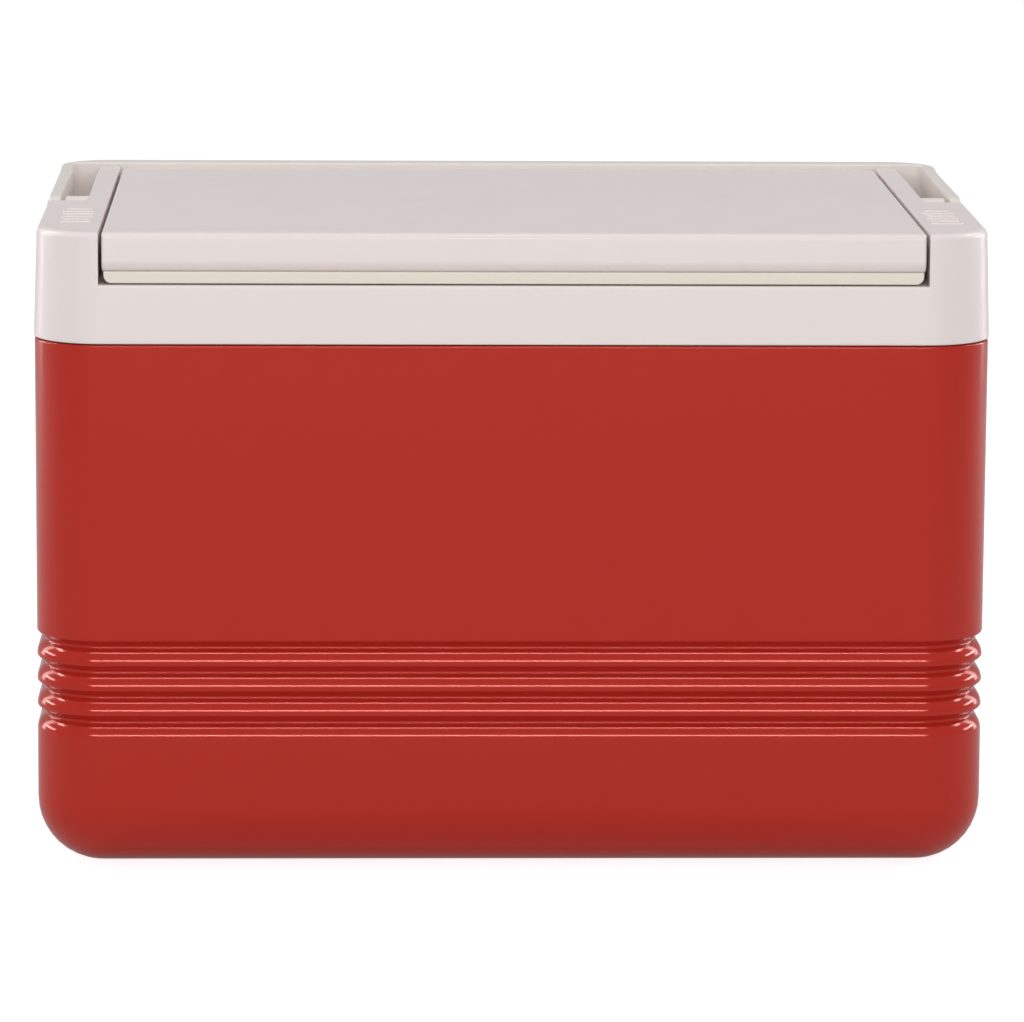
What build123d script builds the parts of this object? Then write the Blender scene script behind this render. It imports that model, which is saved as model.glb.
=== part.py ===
"""Small hard-sided personal cooler: lidded, with a bail handle that folds back behind the lid.

Millimetres, +Z up, front towards -Y, origin on the ground under the middle of the cooler.
"""
import os

from build123d import *

os.makedirs("parts", exist_ok=True)

# Overall size
COLLAR_WIDTH = 356.0
COLLAR_DEPTH = 235.0
LID_TOP = 240.1

# Collar: a skirt over the body, a flat deck, and two ears that stand up beside the lid
COLLAR_BOTTOM = 198.9
COLLAR_CORNER = 25.8
COLLAR_DRAFT = 1.95
COLLAR_WALL = 3.0
DECK_TOP = 220.7
DECK_BOTTOM = 218.3
EAR_INSIDE = 153.1
EAR_REAR = -14.0
EAR_WALL = 2.6
EAR_ROUND = 2.4
RIB_OUTSIDE = 161.4
RIB_REAR = 104.0
RIB_ROUND = 3.4

# Body shell
SHELL_STEP = 0.3
SHELL_GAP = 0.4
SHELL_WALL = 2.2
SHELL_CORNER = 25.5
SHELL_EDGE = 24.0
BASE_THICKNESS = 4.0
BASE_RECESS = 1.5
BASE_RIM = 22.0
NECK_STEP = 3.2

# Grooves that run all the way round the body
GROOVE_COUNT = 4
GROOVE_TOP_VALLEY = 85.4
GROOVE_PITCH = 9.47
GROOVE_DEPTH = 3.8
GROOVE_RISE = 2.9
GROOVE_FALL = GROOVE_PITCH - GROOVE_RISE
RIB_APEX = 0.9
RIB_TIP_RADIUS = 1.6
GROOVE_END_RADIUS = 1.2

# Inner tub
LINER_HALF_WIDTH = 147.0
LINER_HALF_DEPTH = 92.0
LINER_FLOOR = 22.0
LINER_WALL = 2.0
LINER_DRAFT = 0.87
LINER_CORNER = 18.0
LINER_EDGE = 12.0
FLANGE_THICKNESS = 2.5
MOUTH_HALF_WIDTH = 150.2
MOUTH_HALF_DEPTH = 95.2
MOUTH_CORNER = 21.0

# Lid
LID_HALF_WIDTH = 151.8
LID_FRONT_TOP = -116.1
LID_FRONT_BOTTOM = -116.6
COVER_BOTTOM = 225.1
COVER_WALL = 2.5
COVER_TOP_ROUND = 2.2
COVER_UNDER_ROUND = 3.0
LID_BOTTOM = 221.2
BAND_RECESS = 1.3
BAND_REAR = 95.5
BAND_ROUND = 3.0
PLUG_HALF_WIDTH = 146.6
PLUG_HALF_DEPTH = 91.5
PLUG_BOTTOM = 207.1
PLUG_CORNER = 17.0
PLUG_WALL = 2.5
FOAM_REAR = 88.0

# Lid hinge, across the back of the lid
HINGE_Y = 96.0
HINGE_Z = 233.1
HINGE_ROUND = 7.0
HINGE_PIN_RADIUS = 2.5
HINGE_PIN_HEAD_RADIUS = 4.0
HINGE_PIN_HEAD = 1.2
HINGE_PIN_INNER_END = 142.0
KNUCKLE_INSIDE = 138.0

# Bail handle
HANDLE_OUTSIDE = 176.4
HANDLE_ARM = 4.4
HANDLE_REAR = 116.6
HANDLE_BAR = 10.2
HANDLE_CORNER = 19.0
HANDLE_INNER_CORNER = 3.0
ARM_TOP = 240.6
ARM_BOTTOM = 224.6
BAR_TOP = 241.5
BAR_BOTTOM = 221.5
ARM_FLARE_START = 84.0
ARM_FLARE_END = 99.0
GRIP_HALF_WIDTH = 150.0
GRIP_WALL = 2.4
GRIP_RIB = 1.6
GRIP_RIB_COUNT = 11

# Handle pivots
PIVOT_Z = 232.6
HUB_RADIUS = 8.0
BOSS_RADIUS = 7.5
BOSS_END = 171.5
PIVOT_RADIUS = 3.5
PIVOT_INNER_END = 163.5
PIVOT_HEAD_RADIUS = 6.0
PIVOT_HEAD = 1.5
PIVOT_SEAT = 2.0
HEAD_CLEARANCE = 0.4

RUNNING_CLEARANCE = 0.06
REACH = 400.0

GROOVE_VALLEYS = [GROOVE_TOP_VALLEY - GROOVE_PITCH * index for index in range(GROOVE_COUNT)]
SHELL_HALF_WIDTH = COLLAR_WIDTH / 2 - SHELL_STEP
SHELL_HALF_DEPTH = COLLAR_DEPTH / 2 - SHELL_STEP
SHELL_TOP = COLLAR_BOTTOM - SHELL_GAP
ARM_INSIDE = HANDLE_OUTSIDE - HANDLE_ARM
SIDES = {"left": -1, "right": 1}


def rounded_block(half_width, half_depth, corner, bottom, top, draft=0.0):
    """A block with rounded upright corners; a positive draft narrows it upwards."""
    outline = Pos(0, 0, bottom) * RectangleRounded(2 * half_width, 2 * half_depth, corner)
    return extrude(outline, top - bottom, taper=draft)


def box_between(low, high):
    """A box from its lowest corner to its highest corner."""
    size = [high[axis] - low[axis] for axis in range(3)]
    middle = [(high[axis] + low[axis]) / 2 for axis in range(3)]
    return Pos(*middle) * Box(*size)


def cross_cylinder(radius, start, end, y, z):
    """A cylinder that lies along X between two places, on the right or the left side."""
    middle = (start + end) / 2
    return Pos(middle, y, z) * Rot(0, 90, 0) * Cylinder(radius, abs(end - start))


def side_box(side, inner, outer, front, rear, bottom, top):
    """A box on one side of the cooler, given by its distances from the middle."""
    low_x = min(side * inner, side * outer)
    high_x = max(side * inner, side * outer)
    return box_between((low_x, front, bottom), (high_x, rear, top))


def side_profile(points, half_width):
    """A closed outline in the YZ plane, pushed out to both sides."""
    outline = make_face(Polyline(*[(0, y, z) for y, z in points], close=True))
    return extrude(outline, half_width, dir=(1, 0, 0), both=True)


def groove_ring(half_width, half_depth, corner, tip_radius):
    """What the grooves take out of a block: a ribbed section carried round its outline."""
    points = [(0.0, GROOVE_VALLEYS[0] + GROOVE_RISE)]
    apexes = []
    for valley in GROOVE_VALLEYS:
        points.append((-GROOVE_DEPTH, valley))
        apexes.append((RIB_APEX, valley - GROOVE_FALL))
        points.append(apexes[-1])
    points[-1] = (0.0, GROOVE_VALLEYS[-1] - GROOVE_FALL)
    points.append((GROOVE_DEPTH, points[-1][1]))
    points.append((GROOVE_DEPTH, points[0][1]))
    section = make_face(Polyline(*points, close=True))
    if tip_radius > 0:
        tips = [v for v in section.vertices() if abs(v.X - RIB_APEX) < 0.01]
        section = fillet(tips, tip_radius)
    path = RectangleRounded(2 * half_width, 2 * half_depth, corner).wire()
    start = path @ 0
    along = path % 0
    outward = along.cross(Vector(0, 0, 1))
    return sweep(Plane(origin=start, x_dir=outward, z_dir=-along) * section, path)


def grooved_block(inset, bottom, top, tip_radius):
    """The body's outer form, or the same form shrunk by an inset."""
    half_width = SHELL_HALF_WIDTH - inset
    half_depth = SHELL_HALF_DEPTH - inset
    corner = SHELL_CORNER - inset
    block = rounded_block(half_width, half_depth, corner, bottom, top)
    low_edges = block.edges().group_by(Axis.Z)[0]
    block = fillet(low_edges, SHELL_EDGE - inset)
    return block - groove_ring(half_width, half_depth, corner, tip_radius)


def liner_form(offset, top):
    """The inner tub's space, grown by an offset for its outer face."""
    block = rounded_block(
        LINER_HALF_WIDTH + offset,
        LINER_HALF_DEPTH + offset,
        LINER_CORNER + offset,
        LINER_FLOOR - offset,
        top,
        -LINER_DRAFT,
    )
    return fillet(block.edges().group_by(Axis.Z)[0], LINER_EDGE + offset)


def neck_block(inset, bottom, top):
    """The narrower part of the body that goes up inside the collar."""
    return rounded_block(
        SHELL_HALF_WIDTH - NECK_STEP - inset,
        SHELL_HALF_DEPTH - NECK_STEP - inset,
        SHELL_CORNER - NECK_STEP - inset,
        bottom,
        top,
    )


def shell_cavity():
    """The space inside the outer shell."""
    lower = grooved_block(SHELL_WALL, BASE_THICKNESS, SHELL_TOP - SHELL_WALL, 0.0)
    return lower + neck_block(SHELL_WALL, SHELL_TOP - 2 * SHELL_WALL, DECK_BOTTOM)


def make_outer_shell():
    """The coloured outer shell, with its grooves, its neck and a recess under its base."""
    block = grooved_block(0.0, 0.0, SHELL_TOP, RIB_TIP_RADIUS)
    ends = [GROOVE_VALLEYS[0] + GROOVE_RISE, GROOVE_VALLEYS[-1] - GROOVE_FALL]
    rounded = [e for e in block.edges() if min(abs(e.center().Z - z) for z in ends) < 0.05]
    block = fillet(rounded, GROOVE_END_RADIUS)
    shell = block + neck_block(0.0, SHELL_TOP, DECK_BOTTOM) - shell_cavity()
    flat_half_width = SHELL_HALF_WIDTH - SHELL_EDGE - BASE_RIM
    flat_half_depth = SHELL_HALF_DEPTH - SHELL_EDGE - BASE_RIM
    return shell - rounded_block(flat_half_width, flat_half_depth, BASE_RIM, 0.0, BASE_RECESS)


def make_inner_liner():
    """The smooth tub that holds the food, with a flange that carries it."""
    flange_bottom = DECK_BOTTOM - FLANGE_THICKNESS
    flange = neck_block(SHELL_WALL, flange_bottom, DECK_BOTTOM)
    return liner_form(LINER_WALL, flange_bottom) + flange - liner_form(0.0, LID_TOP)


def make_body_foam():
    """The insulation between the shell and the tub."""
    foam_top = DECK_BOTTOM - FLANGE_THICKNESS
    above = rounded_block(REACH, REACH, 1.0, foam_top, LID_TOP)
    return shell_cavity() - above - liner_form(LINER_WALL, LID_TOP)


def make_ear(side):
    """One ear: a block beside the lid's front half, and a rib that carries both pivots."""
    form = rounded_block(
        COLLAR_WIDTH / 2, COLLAR_DEPTH / 2, COLLAR_CORNER, COLLAR_BOTTOM, LID_TOP, COLLAR_DRAFT
    )
    front = form & side_box(side, EAR_INSIDE, REACH, -REACH, EAR_REAR, DECK_BOTTOM, LID_TOP)
    front = fillet(front.edges().group_by(Axis.Z)[-1], EAR_ROUND)
    rib = side_box(side, EAR_INSIDE, RIB_OUTSIDE, EAR_REAR - 4, RIB_REAR, DECK_BOTTOM, LID_TOP)
    rib = fillet(rib.edges().filter_by(Axis.Z).group_by(Axis.Y)[-1], RIB_ROUND)
    boss = cross_cylinder(BOSS_RADIUS, side * EAR_INSIDE, side * BOSS_END, 0, PIVOT_Z)
    web = side_box(side, EAR_INSIDE, BOSS_END - 1, -2, 2, DECK_BOTTOM, PIVOT_Z)
    hollow = rounded_block(
        COLLAR_WIDTH / 2 - EAR_WALL - 1.4,
        COLLAR_DEPTH / 2 - EAR_WALL - 1.4,
        COLLAR_CORNER - EAR_WALL - 1.4,
        COLLAR_BOTTOM,
        LID_TOP - EAR_WALL,
    )
    hollow &= side_box(
        side, EAR_INSIDE + EAR_WALL, REACH, -REACH, EAR_REAR - EAR_WALL, COLLAR_BOTTOM, LID_TOP
    )
    return front + rib + boss + web, hollow


def make_collar():
    """The pale collar: skirt, deck with the mouth through it, and the two ears."""
    collar = rounded_block(
        COLLAR_WIDTH / 2, COLLAR_DEPTH / 2, COLLAR_CORNER, COLLAR_BOTTOM, DECK_TOP, COLLAR_DRAFT
    )
    collar -= rounded_block(
        COLLAR_WIDTH / 2 - SHELL_STEP - COLLAR_WALL,
        COLLAR_DEPTH / 2 - SHELL_STEP - COLLAR_WALL,
        COLLAR_CORNER - SHELL_STEP - COLLAR_WALL,
        COLLAR_BOTTOM,
        DECK_BOTTOM,
    )
    collar -= rounded_block(
        MOUTH_HALF_WIDTH, MOUTH_HALF_DEPTH, MOUTH_CORNER, COLLAR_BOTTOM, LID_TOP
    )
    for side in SIDES.values():
        ear, hollow = make_ear(side)
        collar = collar + ear - hollow
        collar -= cross_cylinder(
            HINGE_PIN_RADIUS, side * (EAR_INSIDE - 1), side * (RIB_OUTSIDE + 1), HINGE_Y, HINGE_Z
        )
        collar -= cross_cylinder(
            PIVOT_RADIUS, side * PIVOT_INNER_END, side * (BOSS_END + 1), 0, PIVOT_Z
        )
    return collar


def cover_cavity(rear):
    """The space under the lid's cover."""
    return box_between(
        (-LID_HALF_WIDTH + COVER_WALL, LID_FRONT_TOP + COVER_WALL, COVER_BOTTOM),
        (LID_HALF_WIDTH - COVER_WALL, rear, LID_TOP - COVER_WALL),
    )


def make_lid_cover():
    """The lid's outer cover, rounded at the back about the hinge."""
    points = [
        (LID_FRONT_TOP, LID_TOP),
        (HINGE_Y + HINGE_ROUND, LID_TOP),
        (HINGE_Y + HINGE_ROUND, COVER_BOTTOM),
        (LID_FRONT_BOTTOM, COVER_BOTTOM),
    ]
    block = side_profile(points, LID_HALF_WIDTH)
    across = block.edges().filter_by(Axis.X)
    rear_top = across.group_by(Axis.Y)[-1].group_by(Axis.Z)[-1]
    block = fillet(rear_top, HINGE_ROUND - 0.01)
    across = block.edges().filter_by(Axis.X)
    front_low = across.group_by(Axis.Z)[0].group_by(Axis.Y)[0]
    block = fillet(front_low, COVER_UNDER_ROUND)
    front_top = block.edges().filter_by(Axis.X).group_by(Axis.Z)[-1].group_by(Axis.Y)[0]
    block = fillet(front_top, COVER_TOP_ROUND)
    cover = block - cover_cavity(HINGE_Y)
    for side in SIDES.values():
        knuckle = cross_cylinder(
            HINGE_ROUND, side * KNUCKLE_INSIDE, side * LID_HALF_WIDTH, HINGE_Y, HINGE_Z
        )
        cover += knuckle & block
        cover -= cross_cylinder(
            HINGE_PIN_RADIUS + RUNNING_CLEARANCE,
            side * (HINGE_PIN_INNER_END - 1),
            side * (LID_HALF_WIDTH + 1),
            HINGE_Y,
            HINGE_Z,
        )
    return cover


def plug_block(inset, top):
    """The part of the lid that goes down into the mouth."""
    return rounded_block(
        PLUG_HALF_WIDTH - inset,
        PLUG_HALF_DEPTH - inset,
        PLUG_CORNER - inset,
        PLUG_BOTTOM + inset,
        top,
    )


def tray_recess(rear):
    """The shallow recess in the top of the lid's inner pan."""
    return box_between(
        (-PLUG_HALF_WIDTH, -PLUG_HALF_DEPTH - 18, LID_BOTTOM + PLUG_WALL),
        (PLUG_HALF_WIDTH, rear, COVER_BOTTOM),
    )


def make_lid_liner():
    """The lid's inner pan: a band that shows below the cover, and the plug."""
    band = box_between(
        (-LID_HALF_WIDTH + BAND_RECESS / 2, LID_FRONT_BOTTOM + BAND_RECESS, LID_BOTTOM),
        (LID_HALF_WIDTH - BAND_RECESS / 2, BAND_REAR, COVER_BOTTOM),
    )
    ends = band.edges().filter_by(Axis.Y).group_by(Axis.Z)[0]
    band = fillet(ends, BAND_ROUND)
    return band + plug_block(0.0, COVER_BOTTOM) - plug_block(PLUG_WALL, LID_TOP) - tray_recess(FOAM_REAR)


def make_lid_foam():
    """The insulation inside the lid."""
    return cover_cavity(FOAM_REAR) + tray_recess(FOAM_REAR) + plug_block(PLUG_WALL, COVER_BOTTOM)


def make_hinge_pin(side):
    """One lid hinge pin, pushed in through the rib."""
    shaft = cross_cylinder(
        HINGE_PIN_RADIUS, side * HINGE_PIN_INNER_END, side * RIB_OUTSIDE, HINGE_Y, HINGE_Z
    )
    head = cross_cylinder(
        HINGE_PIN_HEAD_RADIUS,
        side * RIB_OUTSIDE,
        side * (RIB_OUTSIDE + HINGE_PIN_HEAD),
        HINGE_Y,
        HINGE_Z,
    )
    return shaft + head


def make_handle_pivot(side):
    """One handle pivot, pushed through the arm into the ear's boss."""
    head_inside = HANDLE_OUTSIDE - PIVOT_HEAD
    shaft = cross_cylinder(PIVOT_RADIUS, side * PIVOT_INNER_END, side * head_inside, 0, PIVOT_Z)
    head = cross_cylinder(PIVOT_HEAD_RADIUS, side * head_inside, side * HANDLE_OUTSIDE, 0, PIVOT_Z)
    return shaft + head


def make_carry_handle():
    """The one-piece bail: two thin arms with round hubs, and a hollow grip bar across the back."""
    front = -HUB_RADIUS - 1
    outer = box_between(
        (-HANDLE_OUTSIDE, front, BAR_BOTTOM - 1), (HANDLE_OUTSIDE, HANDLE_REAR, BAR_TOP + 1)
    )
    outer = fillet(outer.edges().filter_by(Axis.Z).group_by(Axis.Y)[-1], HANDLE_CORNER)
    inner = box_between(
        (-ARM_INSIDE, front - 1, BAR_BOTTOM - 2),
        (ARM_INSIDE, HANDLE_REAR - HANDLE_BAR, BAR_TOP + 2),
    )
    inner = fillet(inner.edges().filter_by(Axis.Z).group_by(Axis.Y)[-1], HANDLE_INNER_CORNER)
    side_view = side_profile(
        [
            (0, ARM_TOP),
            (ARM_FLARE_START, ARM_TOP),
            (ARM_FLARE_END, BAR_TOP),
            (HANDLE_REAR + 1, BAR_TOP),
            (HANDLE_REAR + 1, BAR_BOTTOM),
            (ARM_FLARE_END, BAR_BOTTOM),
            (ARM_FLARE_START, ARM_BOTTOM),
            (0, ARM_BOTTOM),
        ],
        REACH,
    )
    side_view += cross_cylinder(HUB_RADIUS, -REACH, REACH, 0, PIVOT_Z)
    handle = (outer - inner) & side_view
    grip_width = 2 * GRIP_HALF_WIDTH / (GRIP_RIB_COUNT + 1)
    for index in range(GRIP_RIB_COUNT + 1):
        left = -GRIP_HALF_WIDTH + index * grip_width
        handle -= box_between(
            (left + GRIP_RIB / 2, HANDLE_REAR - HANDLE_BAR + GRIP_WALL, BAR_BOTTOM),
            (left + grip_width - GRIP_RIB / 2, HANDLE_REAR - GRIP_WALL, BAR_TOP - GRIP_WALL),
        )
    for side in SIDES.values():
        handle -= cross_cylinder(
            PIVOT_RADIUS + RUNNING_CLEARANCE,
            side * (ARM_INSIDE - 1),
            side * (HANDLE_OUTSIDE + 1),
            0,
            PIVOT_Z,
        )
        handle -= cross_cylinder(
            PIVOT_HEAD_RADIUS + HEAD_CLEARANCE,
            side * (HANDLE_OUTSIDE - PIVOT_SEAT),
            side * (HANDLE_OUTSIDE + 1),
            0,
            PIVOT_Z,
        )
    return handle


parts = {
    "outer_shell": make_outer_shell(),
    "body_foam": make_body_foam(),
    "inner_liner": make_inner_liner(),
    "collar": make_collar(),
    "lid_cover": make_lid_cover(),
    "lid_foam": make_lid_foam(),
    "lid_liner": make_lid_liner(),
    "carry_handle": make_carry_handle(),
}
for side_name, side_sign in SIDES.items():
    parts["hinge_pin_" + side_name] = make_hinge_pin(side_sign)
    parts["handle_pivot_" + side_name] = make_handle_pivot(side_sign)

for node, shape in parts.items():
    export_step(shape, "parts/" + node + ".step")
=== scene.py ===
"""Looks of a small hard-sided personal cooler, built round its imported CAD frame.

Everything is in metres in the frame of the CAD model: +X right, -Y front, +Z up.
"""

import logging
import math
from dataclasses import dataclass, field
from enum import Enum
from typing import Iterable, Sequence

import bmesh
import bpy
from mathutils import Euler, Matrix, Vector


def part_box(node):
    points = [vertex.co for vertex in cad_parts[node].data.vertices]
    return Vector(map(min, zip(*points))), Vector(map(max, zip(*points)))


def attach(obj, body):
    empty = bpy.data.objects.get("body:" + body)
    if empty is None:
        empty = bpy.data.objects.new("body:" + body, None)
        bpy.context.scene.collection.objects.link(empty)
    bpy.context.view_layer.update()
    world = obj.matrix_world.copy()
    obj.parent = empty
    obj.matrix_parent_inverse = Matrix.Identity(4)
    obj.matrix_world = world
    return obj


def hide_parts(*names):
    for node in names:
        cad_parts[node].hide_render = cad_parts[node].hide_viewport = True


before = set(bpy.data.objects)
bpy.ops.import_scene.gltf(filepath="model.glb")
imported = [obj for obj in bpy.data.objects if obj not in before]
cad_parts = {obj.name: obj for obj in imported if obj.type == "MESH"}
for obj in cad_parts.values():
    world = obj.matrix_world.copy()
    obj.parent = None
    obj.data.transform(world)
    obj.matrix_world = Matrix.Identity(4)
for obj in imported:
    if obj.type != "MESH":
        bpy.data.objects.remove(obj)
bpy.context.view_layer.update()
LOG = logging.getLogger("cooler")

MM = 0.001
MERGE = 0.00002

Point = tuple[float, float]
Colour = tuple[float, float, float]


# ---------------------------------------------------------------- drawing in the plane


@dataclass(frozen=True)
class Corner:
    """One corner of an outline, in millimetres, with the radius that rounds it."""

    u: float
    v: float
    radius: float = 0.0


def rounded_line(corners: Sequence[Corner], closed: bool = False, turn: float = 9.0) -> list[Point]:
    """Replace each corner that has a radius by an arc.

    Args:
        corners: The outline's corners, in order.
        closed: Whether the outline runs back to its first corner.
        turn: The largest turn between two points of an arc, in degrees.

    Returns:
        The outline's points, in millimetres.
    """
    points: list[Point] = []
    count = len(corners)
    for index, corner in enumerate(corners):
        here = Vector((corner.u, corner.v))
        inner = closed or 0 < index < count - 1
        if corner.radius <= 0 or not inner:
            points.append((here.x, here.y))
            continue
        before = corners[(index - 1) % count]
        after = corners[(index + 1) % count]
        back = (Vector((before.u, before.v)) - here).normalized()
        ahead = (Vector((after.u, after.v)) - here).normalized()
        half = back.angle(ahead) / 2
        centre = here + (back + ahead).normalized() * (corner.radius / math.sin(half))
        reach = corner.radius / math.tan(half)
        start = here + back * reach - centre
        sweep = (math.pi - 2 * half) * (1 if back.x * ahead.y - back.y * ahead.x < 0 else -1)
        steps = max(2, round(abs(math.degrees(sweep)) / turn))
        for step in range(steps + 1):
            arm = start.copy()
            arm.rotate(Matrix.Rotation(sweep * step / steps, 2))
            points.append(((centre + arm).x, (centre + arm).y))
    return points


# ---------------------------------------------------------------- making meshes


@dataclass(frozen=True)
class RoundedOutline:
    """A rectangle with rounded corners seen from above, in millimetres."""

    half_width: float
    half_depth: float
    corner: float
    segments: int = 12

    def normal(self, x: float, y: float) -> Vector:
        """Give the outline's outward direction beside a point, seen from above."""
        over_x = abs(x) / MM - (self.half_width - self.corner)
        over_y = abs(y) / MM - (self.half_depth - self.corner)
        if over_x > 1e-3 and over_y > 1e-3:
            way = Vector((over_x, over_y, 0)).normalized()
        elif over_x - self.corner > over_y - self.corner:
            way = Vector((1, 0, 0))
        else:
            way = Vector((0, 1, 0))
        return Vector((math.copysign(way.x, x), math.copysign(way.y, y), 0))

    def holds(self, place: Vector) -> bool:
        """Tell whether a place, in metres, lies inside the outline as seen from above."""
        over_x = abs(place.x) / MM - (self.half_width - self.corner)
        over_y = abs(place.y) / MM - (self.half_depth - self.corner)
        if over_x > 0 and over_y > 0:
            return math.hypot(over_x, over_y) < self.corner
        return max(over_x, over_y) < self.corner

    def loop(self, mesh: bmesh.types.BMesh, inset: float, z: float) -> list[bmesh.types.BMEdge]:
        """Draw the outline as a closed wire.

        Args:
            mesh: The mesh that receives it.
            inset: How far the wire lies inside the outline, in millimetres.
            z: The wire's height, in millimetres.

        Returns:
            The wire's edges.
        """
        x, y = (self.half_width - inset) * MM, (self.half_depth - inset) * MM
        made = [mesh.verts.new((sx * x, sy * y, z * MM)) for sx, sy in ((-1, -1), (1, -1), (1, 1), (-1, 1))]
        edges = [mesh.edges.new((made[i], made[(i + 1) % 4])) for i in range(4)]
        radius = self.corner - inset
        rounded = bmesh.ops.bevel(
            mesh,
            geom=made,
            offset=radius * MM,
            offset_type="OFFSET",
            segments=self.segments,
            profile=0.5,
            affect="VERTICES",
            material=-1,
            clamp_overlap=False,
        )
        found = set(rounded["edges"]) | {e for e in edges if e.is_valid}
        level = z * MM
        return [e for e in mesh.edges if e in found or (not e.link_faces and self._lies_at(e, level))]

    @staticmethod
    def _lies_at(edge: bmesh.types.BMEdge, level: float) -> bool:
        """Tell whether a loose edge lies at one height."""
        return all(abs(vert.co.z - level) < 1e-7 for vert in edge.verts)

    def rise(
        self, mesh: bmesh.types.BMesh, edges: list[bmesh.types.BMEdge], path: Iterable[Point]
    ) -> list[bmesh.types.BMEdge]:
        """Carry a wire along a path of insets and heights, leaving faces behind it.

        Args:
            mesh: The mesh that holds the wire.
            edges: The wire's edges.
            path: Pairs of inset and height, in millimetres.

        Returns:
            The edges of the last wire.
        """
        for inset, z in path:
            made = bmesh.ops.extrude_edge_only(mesh, edges=edges)["geom"]
            edges = [e for e in made if isinstance(e, bmesh.types.BMEdge)]
            for vert in {v for e in edges for v in e.verts}:
                way = self.normal(vert.co.x, vert.co.y)
                base_x = math.copysign(self.half_width - self.corner, vert.co.x)
                base_y = math.copysign(self.half_depth - self.corner, vert.co.y)
                out = self.corner - inset
                if abs(way.x) > 0:
                    vert.co.x = (base_x + way.x * out) * MM
                if abs(way.y) > 0:
                    vert.co.y = (base_y + way.y * out) * MM
                vert.co.z = z * MM
        return edges


def face_from(mesh: bmesh.types.BMesh, points: Sequence[Vector]) -> bmesh.types.BMFace:
    """Fill a flat outline with one face."""
    return mesh.faces.new([mesh.verts.new(point) for point in points])


def push(mesh: bmesh.types.BMesh, faces: list[bmesh.types.BMFace], move: Vector) -> list[bmesh.types.BMFace]:
    """Extrude faces and move the new ones.

    Args:
        mesh: The mesh that holds the faces.
        faces: The faces to extrude, as one region.
        move: How far the new faces go, in metres.

    Returns:
        The new end faces.
    """
    made = bmesh.ops.extrude_face_region(mesh, geom=faces)["geom"]
    verts = [v for v in made if isinstance(v, bmesh.types.BMVert)]
    bmesh.ops.translate(mesh, verts=verts, vec=move)
    return [f for f in made if isinstance(f, bmesh.types.BMFace)]


def flat_faces(mesh: bmesh.types.BMesh, level: float) -> list[bmesh.types.BMFace]:
    """List the faces that lie flat at one height, in metres."""
    return [f for f in mesh.faces if all(abs(v.co.z - level) < 1e-6 for v in f.verts)]


def join_rings(
    mesh: bmesh.types.BMesh, inner: Sequence[bmesh.types.BMEdge], outer: Sequence[bmesh.types.BMEdge]
) -> None:
    """Lay a strip of faces between two rings round the Z axis that have as many vertices.

    Args:
        mesh: The mesh that holds the rings.
        inner: The edges of one ring.
        outer: The edges of the other ring.
    """
    near, far = (
        sorted({v for e in ring for v in e.verts}, key=lambda v: math.atan2(v.co.y, v.co.x))
        for ring in (inner, outer)
    )
    for index in range(len(near)):
        mesh.faces.new((near[index - 1], near[index], far[index], far[index - 1]))


def cut(mesh: bmesh.types.BMesh, axis: int, place: float, faces: Iterable[bmesh.types.BMFace] = ()) -> None:
    """Cut a mesh, or some of its faces, by a plane across one axis.

    Args:
        mesh: The mesh to cut.
        axis: 0, 1 or 2 for X, Y or Z.
        place: Where the plane lies on that axis, in millimetres.
        faces: The faces to cut, or none for the whole mesh.
    """
    chosen = list(faces) or list(mesh.faces)
    geom = chosen + list({e for f in chosen for e in f.edges}) + list({v for f in chosen for v in f.verts})
    spot, way = Vector((0, 0, 0)), Vector((0, 0, 0))
    spot[axis], way[axis] = place * MM, 1.0
    bmesh.ops.bisect_plane(mesh, geom=geom, dist=1e-7, plane_co=spot, plane_no=way)


def soften(
    mesh: bmesh.types.BMesh,
    edges: Iterable[bmesh.types.BMEdge],
    radius: float,
    segments: int = 3,
    clamp: bool = True,
) -> None:
    """Round edges by a bevel.

    Args:
        mesh: The mesh that holds the edges.
        edges: The edges to round.
        radius: The bevel's width, in millimetres.
        segments: How many faces go across it.
        clamp: Whether the bevel narrows rather than overlap itself.
    """
    bmesh.ops.bevel(
        mesh,
        geom=list(edges),
        offset=radius * MM,
        offset_type="OFFSET",
        segments=segments,
        profile=0.5,
        affect="EDGES",
        material=-1,
        clamp_overlap=clamp,
        miter_outer="ARC",
    )


def sharp_edges(mesh: bmesh.types.BMesh, least: float = 40.0) -> list[bmesh.types.BMEdge]:
    """List the outward edges that turn by more than some degrees."""
    limit = math.radians(least)
    mesh.normal_update()
    return [e for e in mesh.edges if e.is_manifold and e.is_convex and e.calc_face_angle(0) > limit]


def finish_mesh(mesh: bmesh.types.BMesh, name: str, crease: float = 32.0) -> bpy.types.Object:
    """Close a bmesh into an object that shades smoothly up to some degrees.

    Args:
        mesh: The mesh, which is freed.
        name: The name of the piece.
        crease: The turn above which an edge stays sharp, in degrees.

    Returns:
        The new object, at the origin.
    """
    bmesh.ops.remove_doubles(mesh, verts=mesh.verts, dist=MERGE)
    bmesh.ops.recalc_face_normals(mesh, faces=mesh.faces)
    data = bpy.data.meshes.new(name)
    mesh.to_mesh(data)
    mesh.free()
    for polygon in data.polygons:
        polygon.use_smooth = True
    data.set_sharp_from_angle(angle=math.radians(crease))
    piece = bpy.data.objects.new(name, data)
    bpy.context.scene.collection.objects.link(piece)
    smooth = piece.modifiers.new("even_normals", "WEIGHTED_NORMAL")
    smooth.keep_sharp = True
    smooth.weight = 80
    return piece


# ---------------------------------------------------------------- shader groups


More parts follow.
